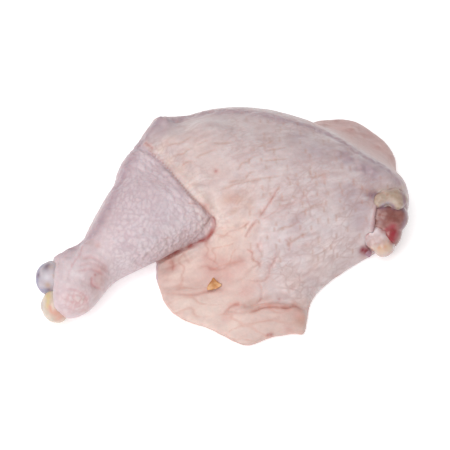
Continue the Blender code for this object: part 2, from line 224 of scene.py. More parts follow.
def fine_copy(node, name, mesh_mm, strokes):
    """A fine, soft copy of a node of the frame, which it replaces."""
    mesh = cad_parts[node].data.copy()
    mesh.materials.clear()
    thing = bpy.data.objects.new(name, mesh)
    bpy.context.scene.collection.objects.link(thing)
    pick(thing)
    bpy.ops.object.mode_set(mode="EDIT")
    bpy.ops.mesh.select_all(action="SELECT")
    bpy.ops.mesh.remove_doubles(threshold=0.01 * MM)
    bpy.ops.mesh.customdata_custom_splitnormals_clear()
    bpy.ops.object.mode_set(mode="OBJECT")
    shape_with(thing, "SUBSURF", levels=2, render_levels=2)
    shape_with(thing, "REMESH", mode="VOXEL", voxel_size=mesh_mm * MM)
    shape_with(thing, "SMOOTH", factor=0.5, iterations=strokes)
    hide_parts(node)
    return thing


def read(thing, what):
    """Places, in mm, or normals of a mesh's points, one row each."""
    rows = np.empty(len(thing.data.vertices) * 3, np.float32)
    thing.data.vertices.foreach_get(what, rows)
    return rows.reshape(-1, 3).astype(float) / (MM if what == "co" else 1)


def write_places(thing, places):
    thing.data.vertices.foreach_set("co", (places * MM).astype(np.float32).ravel())
    thing.data.update()


def paint(thing, name, amounts):
    """Keeps an amount for each point, which the materials read by its name."""
    layer = thing.data.attributes.new(name, "FLOAT", "POINT")
    layer.data.foreach_set("value", np.clip(amounts, 0, 1).astype(np.float32))


def step(value, low, high):
    """0 below low, 1 above high, smooth between. Low may be the larger."""
    t = np.clip((value - low) / (high - low), 0, 1)
    return t * t * (3 - 2 * t)


def bell(away, width):
    """1 where away is 0, falling softly to near 0 at twice the width."""
    return np.exp(-((away / width) ** 2))


def distance_to(places, line):
    """How far each place is from a line's points, and where along the line, from 0 to 1."""
    tree = KDTree(len(line))
    for i, point in enumerate(line):
        tree.insert(point, i)
    tree.balance()
    found = [tree.find(place) for place in places]
    return np.array([f[2] for f in found]), np.array([f[1] for f in found]) / max(len(line) - 1, 1)


def near(places, line, reach):
    """Which places lie within reach of a line's box, so that the rest can be skipped."""
    low, high = line.min(axis=0) - reach, line.max(axis=0) + reach
    return np.flatnonzero(((places > low) & (places < high)).all(axis=1))


def band(places, pixels, width):
    """How close each place is to a line over the leg: 1 on it, falling softly to 0 at twice the width."""
    line = line_on_leg(pixels)
    amounts = np.zeros(len(places))
    some = near(places, line, 2.6 * width)
    if len(some):
        away, _ = distance_to(places[some], line)
        amounts[some] = bell(away, width)
    return amounts


def lattice(places, size, stretch, turn, seed):
    """Places scaled so that a pattern repeats every size in mm, stretched, and turned about the vertical."""
    c, s = math.cos(math.radians(turn)), math.sin(math.radians(turn))
    along, across = places[:, 0] * c + places[:, 1] * s, places[:, 1] * c - places[:, 0] * s
    return np.column_stack([along, across, places[:, 2]]) / (size * np.array(stretch)) + seed * 17.3


def unevenness(places, size, seed, stretch=(1.0, 1.0, 1.0), turn=0.0):
    """Smooth noise from -1 to 1."""
    return np.array([noise.noise(Vector(place)) for place in lattice(places, size, stretch, turn, seed)])


def pebbles(places, size, stretch, turn, seed=0, warp=0.5):
    """Raised cells with bent borders: 0 at a cell's border, 1 in its middle."""
    found = []
    for place in lattice(places, size, stretch, turn, seed):
        near_two = noise.voronoi(Vector(place) + warp * noise.noise_vector(Vector(place * 0.6)))[0]
        found.append(near_two[1] - near_two[0])
    return np.array(found)


def winding(places, size, seed, stretch, turn, width):
    """Thin winding lines: 1 along each, 0 beside it."""
    return 1 - step(np.abs(unevenness(places, size, seed, stretch, turn)), 0.0, width)


def inside(places, corners):
    """Which places lie inside a closed outline, all in the photograph's frame."""
    x, y = places[:, 0], places[:, 1]
    found = np.zeros(len(places), bool)
    for (x0, y0), (x1, y1) in zip(corners, np.roll(corners, -1, axis=0)):
        if y0 != y1:
            found ^= ((y0 > y) != (y1 > y)) & (x < x0 + (x1 - x0) * (y - y0) / (y1 - y0))
    return found


def side_of(places, edge, far_corners):
    """How many pixels inside a zone each place lies, or less than 0 outside it. Its edge is a smooth line."""
    line = smooth_through(edge, 6)
    pixels = pixels_of(places)
    corners = np.vstack([line, far_corners])
    away, _ = distance_to(*[np.column_stack([spread, np.zeros(len(spread))]) for spread in (pixels, line)])
    return np.where(inside(pixels, corners), away, -away)


def spots(places, marks):
    """Soft round patches, each given by its pixel and its radius in mm: 1 in the middle of a patch."""
    amounts = np.zeros(len(places))
    if marks:
        ragged = 1 + 0.4 * unevenness(places, 5, 31)
    for pixel, radius in marks:
        away = np.linalg.norm(places - np.array(seen_at(*pixel)), axis=1)
        amounts = np.maximum(amounts, bell(away, radius * ragged))
    return amounts


def thin_hidden(thing):
    """Coarsens the mesh where nothing of it shows: the flat underside and the channels round the bones."""
    bones = [BVHTree.FromObject(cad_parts[n], bpy.context.evaluated_depsgraph_get()) for n in BONES]
    pick(thing)
    bpy.ops.object.mode_set(mode="EDIT")
    bpy.ops.mesh.select_mode(type="FACE")
    bpy.ops.mesh.select_all(action="DESELECT")
    form = bmesh.from_edit_mesh(thing.data)
    for face in form.faces:
        centre = face.calc_center_median()
        under = centre.z < 0.4 * MM and face.normal.z < -0.5
        channel = CHANNELS[0] < centre.x / MM < CHANNELS[1]
        channel = channel and any(bone.find_nearest(centre, 1.1 * MM)[0] for bone in bones)
        face.select_set(bool(under or channel))
    bmesh.update_edit_mesh(thing.data)
    bpy.ops.mesh.decimate(ratio=0.04)
    bpy.ops.object.mode_set(mode="OBJECT")


# The skin


# The zones of the skin, each by its edge on the leg and by corners beyond the outline that close it.
DRUMSTICK_EDGE = (
    (148, 112), (141, 125), (140, 140), (150, 152), (165, 166), (178, 181), (190, 195), (201, 206), (209, 214),
    (214, 220), (214, 228), (208, 238), (198, 244), (184, 251), (170, 257), (158, 262),
)
DRUMSTICK_SIDE = ((158, 480), (0, 480), (0, 60))
LOOSE_EDGE = (
    (150, 262), (170, 254), (196, 246), (213, 236), (228, 230), (243, 238), (252, 256), (260, 278), (262, 296),
    (280, 303), (305, 303), (340, 298),
)
LOOSE_SIDE = ((360, 480), (120, 480))
REAR_EDGE = ((296, 95), (308, 121), (330, 130), (350, 143), (370, 155), (385, 165), (397, 174), (420, 190))
REAR_SIDE = ((470, 60), (300, 40))
BONES = ("thigh_bone", "shank_bone")
CHANNELS = (-83, 76)  # mm along x, between which a bone is hidden

# Tints of the skin, laid over each other in this order: sRGB hex, how strong, and where.
# Patches are pixels with radii in mm. Those without patches are worked out from the form.
SKIN_TINTS = {
    "loose": ("d5b9b0", 0.9, ()),
    "rear": ("c8a5a2", 0.9, ()),
    "drumstick": ("d2bfc4", 0.95, ()),
    "ankle": ("d3bec1", 0.85, ()),
    # Painted shade: mauve along the outline and on the far side, where the skin turns away from the camera.
    "rim": ("a48894", 0.65, ()),
    "warm": (
        "d2b8b1",
        0.55,
        (
            ((196, 150), 12), ((186, 165), 9), ((215, 170), 14), ((222, 195), 14), ((240, 215), 14), ((250, 238), 9),
            ((232, 235), 10), ((250, 190), 10), ((170, 140), 6),
        ),
    ),
    "cream": (
        "e3cbc1",
        0.8,
        (
            ((160, 150), 3), ((170, 161), 3), ((180, 172), 4), ((190, 184), 5), ((200, 196), 6), ((210, 208), 7),
            ((218, 220), 8), ((228, 230), 8), ((242, 226), 6), ((222, 244), 8), ((186, 262), 7), ((176, 276), 3),
            ((205, 312), 11), ((185, 302), 7), ((232, 324), 6),
        ),
    ),
    "rose": (
        "cd9f98",
        0.6,
        (
            ((214, 270), 8), ((228, 276), 6), ((246, 290), 5), ((240, 264), 5), ((222, 262), 4), ((216, 281), 6),
            ((168, 259), 3), ((172, 267), 3), ((206, 257), 3), ((238, 305), 3), ((270, 306), 4), ((286, 309), 4),
            ((298, 316), 5), ((288, 329), 3), ((226, 318), 3), ((99, 282), 5), ((100, 272), 4), ((84, 311), 2.5),
            ((60, 316), 3), ((345, 130), 7), ((325, 124), 5), ((385, 150), 7), ((156, 118), 4), ((216, 172), 2),
            ((98, 246), 1.5), ((324, 177), 1.5), ((260, 246), 3), ((232, 200), 4),
        ),
    ),
    "red": (
        "a85a58",
        0.7,
        (((271, 335), 1.2), ((268, 335), 1.0), ((279, 299), 0.8), ((216, 171), 0.9), ((95, 275), 0.8)),
    ),
    "brown": (
        "c59f8c",
        0.45,
        (((240, 200), 4), ((228, 200), 3.5), ((250, 206), 3), ((300, 322), 3), ((234, 212), 3)),
    ),
    # Mauve of thin skin, and painted shade where the skin slopes away from the light, as along the thigh's top edge.
    "lilac_and_shade": (
        "a8949f",
        0.5,
        (
            ((352, 195), 8), ((360, 206), 8), ((360, 222), 6), ((374, 162), 11), ((350, 150), 7), ((170, 122), 6),
            ((160, 215), 7), ((150, 235), 6), ((298, 222), 4), ((158, 124), 6), ((320, 150), 9),
            ((172, 121), 5), ((345, 160), 8), ((370, 171), 9), ((300, 136), 7), ((162, 130), 5),
        ),
    ),
    "pale": (
        "e2d7da",
        0.55,
        (
            ((328, 238), 12), ((300, 258), 7), ((280, 238), 7), ((316, 226), 7), ((72, 272), 6), ((172, 226), 13),
            ((196, 222), 8), ((150, 240), 9), ((120, 262), 9), ((262, 246), 4),
        ),
    ),
    "fair": (
        "e4cdc8",
        0.5,
        (((318, 264), 8), ((292, 284), 8), ((302, 298), 4), ((328, 246), 6), ((80, 300), 5)),
    ),
    # Painted shade on the flap's outer edge, where it turns down to the table.
    "edge": ("c39c96", 0.5, ()),
    "cut": ("b28a8c", 1.0, ()),
    "fat": ("ccb8ab", 0.8, ()),
    # Mauve of the skin's wall at the cut; its patches at the cut's top left corner are painted shadow.
    "side": ("7d5867", 0.9, (((371, 195), 3.0), ((375, 194), 2.0))),
    "border": ("b0929c", 0.42, ()),
    "net": ("c98b8e", 0.55, ()),
    "rust": (
        "c08573",
        0.4,
        (
            ((254, 310), 2.0), ((262, 307), 2.2), ((270, 306), 2.2), ((278, 306), 2.2), ((286, 307), 2.4),
            ((294, 306), 2.6), ((300, 310), 2.4), ((301, 318), 2.2), ((170, 262), 2.0), ((207, 243), 1.8),
        ),
    ),
    "halo": ("d19589", 0.5, ()),
    # Painted shade in the troughs of the ripples and painted highlight on their crests.
    "trough_shade": ("b99b97", 0.3, ()),
    "crest_highlight": ("e2d5d5", 0.3, ()),
    "grain": ("b08a84", 0.5, ()),
    "winding": ("c98a78", 0.4, ()),
    "wrinkle": ("ba8d7c", 0.5, ()),
    "follicle": ("b98b78", 0.5, ()),
    "crease": ("ab6255", 0.75, ()),
    "blush": ("c07c80", 0.65, ()),
    "shaded": ("b49fac", 0.25, ()),
    # Red-brown of the slit under the drumstick: blood colour, darkened as painted shadow where the drumstick
    # overhangs the flap.
    "blood_and_shadow": ("9c3022", 0.95, ()),
    # A dark crimson recess at the front of the cut: raw red with painted shade in it.
    "gap": ("86182e", 1.0, (((366, 251), 3.0), ((363, 250), 2.2))),
}

# The cut at the hip: its middle and half sizes in mm, then its turn and its lean in degrees.
HIP_CUT = ((85.46, -9.89, 21.0), (8.6, 16.6, 15.0), -6.0, -35.0)
# The skin's edge over the cut and down its left side, and the wall of skin at its right.
CUT_EDGE = (
    (404, 187), (396, 189), (384, 190), (374, 192), (371, 200), (370, 212), (370, 224), (366, 234), (364, 244),
)
HIP_SIDE = ((403, 193), (404.5, 201), (405, 209), (404, 217), (402, 225))

# Where the skin turns away from the camera, a little inside the outline: bumps are raised there and it is painted
# mauve as painted shade.
RIMS = (
    ((184, 118), (171, 119), (160, 122), (153, 127), (147, 134)),
    ((146, 136), (138, 146), (128, 163), (119, 183), (109, 203), (100, 222), (93, 234), (80, 244), (64, 253)),
    ((182, 117), (205, 113), (235, 111), (265, 115), (290, 122), (306, 126)),
    ((309, 127), (330, 135), (350, 147), (370, 159), (388, 170), (399, 181)),
    ((345, 154), (360, 165), (374, 172)),
)

# Small swellings and dips of the skin: pixel, radius and height in mm.
SKIN_SWELLS = (
    ((211, 220), 1.8, -0.6), ((207, 229), 1.8, 0.5), ((162, 121), 4.4, 2.2), ((176, 120), 3.6, -1.6),
    ((113, 182), 5.0, -1.2), ((56, 261), 3.0, -2.0), ((170, 260), 2.2, 0.9),
    ((324, 125), 3.0, 0.9), ((336, 122), 3.4, -0.8), ((352, 130), 3.0, 1.0), ((366, 136), 3.0, -1.0),
    ((378, 147), 3.0, 0.8), ((393, 158), 2.6, 0.8), ((68, 253), 2.4, 1.0), ((76, 249), 2.4, -0.8),
    ((84, 245), 2.4, 0.8), ((303, 315), 2.4, 0.8), ((98, 228), 2.2, 0.8), ((116, 192), 2.4, 0.8),
)

# The fold between drumstick and thigh, and the slit under the drumstick, painted dark red as blood colour and
# painted shadow.
ALONG_FOLD = -50  # degrees, how wrinkles and cells run beside the fold
MAIN_FOLD = ((151, 152), (165, 166), (178, 181), (190, 195), (201, 206), (209, 214), (214, 220))
UNDER_FOLD = ((214, 221), (214, 228), (208, 238), (198, 244), (184, 251), (170, 257), (158, 262))
FOLD_TOP = ((158, 159), (165, 166), (172, 174))
# The hollow between fold and thigh, which the skin bridges.
FOLD_VALLEY = ((189, 164), (193, 168), (204, 181), (213, 193))
# Where the slit's red and its painted shadow are strongest: pixel and radius in mm.
SLIT_SPOTS = (((200, 240), 4.0), ((208, 233), 4.0), ((170, 254), 4.2), ((176, 252), 2.6), ((190, 246), 2.0))


# The rows of follicles, in pixels: the first one, the steps to the right and down, and how many.
FOLLICLE_START = (248, 122)
FOLLICLE_STEPS = (12, 9)
FOLLICLE_COLUMNS, FOLLICLE_ROWS = 13, 16


def follicle_lines():
    """Short dashes left by the plucked feathers, in uneven rows over the back of the thigh."""
    draw = random.Random(7)
    left, top = FOLLICLE_START
    right, down = FOLLICLE_STEPS
    lines = []
    for row in range(FOLLICLE_ROWS):
        for column in range(FOLLICLE_COLUMNS):
            x = left + right * (column + 0.5 * (row % 2)) + draw.uniform(-4.5, 4.5)
            y = top + down * row + draw.uniform(-3.5, 3.5)
            half = draw.uniform(2.0, 4.2)
            ends = [seen_at(x, y - half), seen_at(x + 0.4, y + half)]
            if min(end[2] for end in ends) > 1 and draw.random() < 0.7:
                lines.append(smooth_through([tuple(end) for end in ends], 5))
    return lines


def strokes_near(places, lines, width):
    """How close each place is to any of the lines: 1 on one, fading at its ends."""
    points = np.vstack(lines)
    run = np.concatenate([np.arange(len(line)) / (len(line) - 1) for line in lines])
    fade = step(np.minimum(run, 1 - run), -0.05, 0.3)
    some = near(places, points, 3 * width)
    tree = KDTree(len(points))
    for i, point in enumerate(points):
        tree.insert(point, i)
    tree.balance()
    amounts = np.zeros(len(places))
    for i in some:
        _, index, away = tree.find(places[i])
        amounts[i] = fade[index] * math.exp(-((away / width) ** 2))
    return amounts


def soften(thing, where):
    """Smooths the mesh where an amount is high."""
    group = thing.vertex_groups.new(name="soften")
    for i in np.flatnonzero(where > 0.1):
        group.add([int(i)], float(where[i]), "REPLACE")
    shape_with(thing, "SMOOTH", factor=0.6, iterations=5, vertex_group="soften")
    thing.vertex_groups.clear()


def cut_depth(places):
    """0 at the middle of the cut at the hip, 1 on its wall, more outside."""
    centre, half, turn, lean = HIP_CUT
    turned = Matrix.Rotation(math.radians(turn), 3, "Z") @ Matrix.Rotation(math.radians(lean), 3, "X")
    return np.linalg.norm((places - centre) @ np.array(turned) / half, axis=1)


def make_skin():
    skin = fine_copy("skin_and_meat", "chicken_skin", SKIN_MESH, 6)
    thin_hidden(skin)
    places, normals = read(skin, "co"), read(skin, "normal")
    open_side = step(normals[:, 2], -0.6, 0.0) * step(places[:, 2], 0.2, 1.5)
    drumstick_side = side_of(places, DRUMSTICK_EDGE, DRUMSTICK_SIDE)
    drumstick = step(drumstick_side, -0.8, 0.8)
    loose_side = side_of(places, LOOSE_EDGE, LOOSE_SIDE) + 8 * unevenness(places, 9, 16)
    loose = step(loose_side, -14, 14) * (1 - drumstick)
    rear = step(side_of(places, REAR_EDGE, REAR_SIDE), -4, 4)
    depth = cut_depth(places)
    outward = np.einsum("ij,ij->i", normals, places - HIP_CUT[0])
    cut = step(depth, 1.1, 1.02) * (outward < 0)
    tight = (1 - loose) * (1 - drumstick) * (1 - cut)
    ankle = drumstick * step(pixels_of(places)[:, 0], 128, 96)
    by_fold = drumstick * step(drumstick_side + 9 * unevenness(places, 14, 15), 42, 14)

    # Low swellings and ripples, in mm along the normal.
    lift = 0.35 * unevenness(places, 16, 1) + 0.12 * unevenness(places, 5, 2)
    lift += loose * 0.8 * unevenness(places, 13, 3, (2.2, 1, 1), -10)
    lift += loose * 0.26 * unevenness(places, 5, 4, (2.4, 1, 1), 15)
    ripples = unevenness(places, 3.0, 5, (2.7, 1, 1), 18)
    fold_ripples = unevenness(places, 2.4, 8, (5.0, 1, 1), ALONG_FOLD)
    ankle_ripples = unevenness(places, 4.2, 9, (2.4, 1, 1), -30)
    patchy = (0.35 + 0.65 * step(unevenness(places, 12, 14), -0.3, 0.3)) * (1 - 0.6 * rear)
    lift += (0.22 * tight * patchy + 0.2 * loose) * ripples
    lift += 0.5 * by_fold * fold_ripples + 0.35 * ankle * ankle_ripples
    waves = tight * patchy * ripples + 0.6 * by_fold * fold_ripples + 0.6 * ankle * ankle_ripples

    # Goose-bump cells on the drumstick, long ones beside the fold.
    cells = np.ones(len(places))
    some = np.flatnonzero((drumstick > 0.05) & (open_side > 0))
    long_cells = step(pebbles(places[some], 2.2, (2.6, 1.0, 1.0), ALONG_FOLD, 0, 0.6), 0.0, 0.27)
    round_cells = step(pebbles(places[some], 2.5, (1.6, 1.0, 1.0), 74, 3, 0.5), 0.0, 0.27)
    cells[some] = long_cells * by_fold[some] + round_cells * (1 - by_fold[some])
    knob = spots(places, (((75, 303), 7.0), ((82, 300), 5.0)))
    cells = np.maximum(cells, 0.75 * ankle * (1 - knob))
    lift += drumstick * 0.24 * cells

    # The fine net of creases and the winding lines on the thigh.
    grain = np.zeros(len(places))
    some = np.flatnonzero((drumstick < 0.95) & (open_side > 0))
    fine = 1 - step(pebbles(places[some], 2.5, (2.9, 1.0, 1.0), 26, 1, 0.6), 0.0, 0.26)
    coarse = 1 - step(pebbles(places[some], 5.2, (2.0, 1.0, 1.0), 34, 2, 0.8), 0.0, 0.14)
    lower_right = step(places[some, 0], -4, 30) * step(places[some, 1], 26, 0)
    grain[some] = np.maximum(0.6 * fine, coarse * lower_right)
    grain *= (1 - drumstick) * (1 - 0.6 * loose) * (0.35 + 0.65 * step(unevenness(places, 15, 5), -0.3, 0.3))
    lift -= 0.13 * grain
    winds = np.zeros(len(places))
    winds[some] = winding(places[some], 7.0, 11, (2.6, 1, 1), 8, 0.1)
    winds *= (0.15 * tight + loose) * step(unevenness(places, 12, 13), -0.25, 0.3)
    lift -= 0.09 * winds

    # The bumpy skin along the outline, and the far side. Both are painted darker mauve as painted shade where the
    # skin turns away from the camera.
    turned = step(normals @ -np.array(FORWARD), 0.25, -0.25) * (1 - rear) * step(places[:, 1], -20, 0)
    rim = np.maximum.reduce([band(places, line, 4.0) for line in RIMS])
    lift += 1.1 * rim * unevenness(places, 3.2, 61)

    # The fold and the slit, and the banks of skin beside them. The fold's dark line and the band beside it, and the
    # slit's red-brown under the drumstick, are crease and blood colour with painted shade.
    seam = bell(drumstick_side, np.where(drumstick_side > 0, 1.8, 0.9))
    on_fold, under_fold = band(places, MAIN_FOLD, 3.0), band(places, UNDER_FOLD, 3.2)
    lift -= 0.5 * seam * on_fold + 0.9 * seam * under_fold
    bank = 0.8 * bell(drumstick_side + 4.5, 3.5) * band(places, MAIN_FOLD, 9.0)
    bank += 1.7 * band(places, FOLD_VALLEY, 5.2)
    bank += 1.5 * bell(drumstick_side + 5.0, 3.6) * band(places, UNDER_FOLD[3:], 5.0)
    bank += 1.3 * bell(drumstick_side - 4.0, 2.6) * band(places, FOLD_TOP, 4.5)
    bank += 0.5 * bell(drumstick_side - 3.5, 2.4) * band(places, MAIN_FOLD, 6.0)
    lift -= 0.7 * bell(drumstick_side - 1.5, 3.0) * band(places, UNDER_FOLD[3:], 4.0)
    slit_width = 2.3 + 2.2 * unevenness(places, 5.5, 21)
    creases = 0.9 * bell(drumstick_side + 0.1, 0.9) * on_fold
    # The slit's red is blood colour and painted shadow, strongest at its spots; the broader band of crease colour
    # under the drumstick's edge is painted shadow too.
    raw = 0.35 + 0.65 * spots(places, SLIT_SPOTS)
    blood_and_shadow = raw * bell(drumstick_side - 0.4, np.maximum(slit_width, 0.8)) * under_fold
    creases = np.maximum(creases, 0.75 * raw * bell(drumstick_side - 1.6, 3.2) * under_fold)
    shaded = step(drumstick_side, 8, 2) * step(drumstick_side, -1, 1) * band(places, MAIN_FOLD, 5.0)

    halos = np.zeros(len(places))
    for course, width, depth_mm, redness in FOLDS:
        line = line_on_leg(course)
        some = near(places, line, 5 * width)
        away, along = distance_to(places[some], line)
        fade = step(np.minimum(along, 1 - along), -0.02, 0.16)
        away *= 1 + 0.6 * unevenness(places[some], 3.5, 51)
        fade *= 0.75 + 0.5 * unevenness(places[some], 6, 52)
        lift[some] -= depth_mm * fade * bell(away, width)
        lift[some] += 0.22 * depth_mm * fade * bell(away - 2.2 * width, width)
        creases[some] = np.maximum(creases[some], redness * fade * bell(away, 0.9 * width))
        halos[some] = np.maximum(halos[some], redness * fade * bell(away, 2.6 * width))
    blush = creases * ankle
    creases *= 1 - ankle
    wrinkles = strokes_near(places, [line_on_leg(course) for course in WRINKLES], 0.6)
    lift -= 0.3 * wrinkles
    follicles = strokes_near(places, follicle_lines(), 0.6) * (1 - cut) * (1 - drumstick)
    lift -= 0.14 * follicles
    lift += 2.3 * cut * band(places, CUT_EDGE[3:], 3.0) + 1.2 * cut * band(places, CUT_EDGE[:4], 2.0)
    for pixel, radius, height in SKIN_SWELLS:
        lift += height * spots(places, ((pixel, radius),))

    places += (lift * open_side)[:, None] * normals
    places[:, 2] = np.maximum(places[:, 2] + bank * open_side, 0)
    write_places(skin, places)
    soften(skin, seam * np.maximum(on_fold, under_fold))

    worked_out = {
        "drumstick": drumstick,
        "loose": loose,
        "rear": rear,
        # The flap's outer edge, painted darker as painted shade where it turns down.
        "edge": loose * step(places[:, 2], 3.2, 1.2) * step(normals[:, 2], 0.8, 0.2),
        "cut": cut,
        "side": band(places, HIP_SIDE, 2.9),
        "fat": band(places, CUT_EDGE[:4], 1.2),
        "ankle": ankle,
        "rim": np.maximum(rim, 0.8 * turned),
        "border": drumstick * (1 - cells) * (1 - knob),
        "net": knob * (1 - cells),
        # Painted shade in the ripples' troughs and painted highlight on their crests.
        "trough_shade": step(waves, -0.05, -0.45),
        "crest_highlight": step(waves, 0.05, 0.45),
        "grain": grain,
        "winding": winds,
        "wrinkle": wrinkles,
        "follicle": follicles,
        "crease": creases,
        "blush": blush,
        "halo": halos * (1 - drumstick),
        "shaded": shaded,
        "blood_and_shadow": blood_and_shadow,
    }
    for name, (_, strength, patches) in SKIN_TINTS.items():
        paint(skin, name, strength * np.maximum(worked_out.get(name, 0.0), spots(places, patches)))
    return skin


# Materials


def new_material(name, sockets):
    """A material with its shader's sockets set, its tree, its shader and the socket of Object coordinates."""
    material = bpy.data.materials.new(name)
    material.use_nodes = True
    tree = material.node_tree
    shader = tree.nodes["Principled BSDF"]
    for socket, value in sockets.items():
        shader.inputs[socket].default_value = value
    return material, tree, shader, add(tree, "ShaderNodeTexCoord").outputs["Object"]


def per_mm(size):
    """The scale at which a pattern on Object coordinates repeats every so many mm."""
    return 1 / (size * MM)


# Raw chicken skin: thin, moist and cloudy. Fat under it tints it cream and blood tints it rose,
# its creases go rust red, and light that enters it comes out softly a little further on. Some tints are
# painted shade and highlight: along the outline, on the ripples, at the flap's edge and under the drumstick.
SKIN_BASE = ("d3c3c3", "c9b6b7")


def skin_material():
    material, tree, shader, place = new_material(
        "raw_chicken_skin",
        {
            "Subsurface Weight": 0.25,
            "Subsurface Radius": (1.0, 0.42, 0.32),
            "Subsurface Scale": 2.5 * MM,
            "IOR": 1.42,
            "Coat Weight": 0.25,
            "Coat Roughness": 0.28,
        },
    )
    cloud = add(
        tree, "ShaderNodeTexNoise", {"Vector": place, "Scale": per_mm(11), "Detail": 3.0, "Roughness": 0.6}
    )
    spread = add(
        tree, "ShaderNodeMapRange", {"Value": cloud.outputs["Fac"], "From Min": 0.35, "From Max": 0.65}
    )
    colour = add(
        tree,
        "ShaderNodeMix",
        {0: spread.outputs[0], 6: linear(SKIN_BASE[0]), 7: linear(SKIN_BASE[1])},
        data_type="RGBA",
    ).outputs[2]
    for name, (tint, _, _) in SKIN_TINTS.items():
        amount = add(tree, "ShaderNodeAttribute", attribute_name=name)
        colour = add(
            tree, "ShaderNodeMix", {0: amount.outputs["Fac"], 6: colour, 7: linear(tint)}, data_type="RGBA"
        ).outputs[2]
    speckle = add(
        tree, "ShaderNodeTexNoise", {"Vector": place, "Scale": per_mm(2.6), "Detail": 4.0, "Roughness": 0.65}
    )
    shade = add(
        tree,
        "ShaderNodeMapRange",
        {"Value": speckle.outputs["Fac"], "From Min": 0.3, "From Max": 0.7, "To Min": 0.94, "To Max": 1.05},
    )
    colour = add(
        tree, "ShaderNodeMix", {0: 1.0, 6: colour, 7: shade.outputs[0]}, data_type="RGBA", blend_type="MULTIPLY"
    ).outputs[2]
    tree.links.new(colour, shader.inputs["Base Color"])
    rough = add(
        tree,
        "ShaderNodeMapRange",
        {"Value": speckle.outputs["Fac"], "From Min": 0.3, "From Max": 0.7, "To Min": 0.38, "To Max": 0.55},
    )
    tree.links.new(rough.outputs[0], shader.inputs["Roughness"])
    pores = add(tree, "ShaderNodeTexNoise", {"Vector": place, "Scale": per_mm(0.9), "Detail": 3.0})
    bump = add(tree, "ShaderNodeBump", {"Strength": 0.35, "Distance": 0.25 * MM, "Height": pores.outputs["Fac"]})
    tree.links.new(bump.outputs[0], shader.inputs["Normal"])
    return material


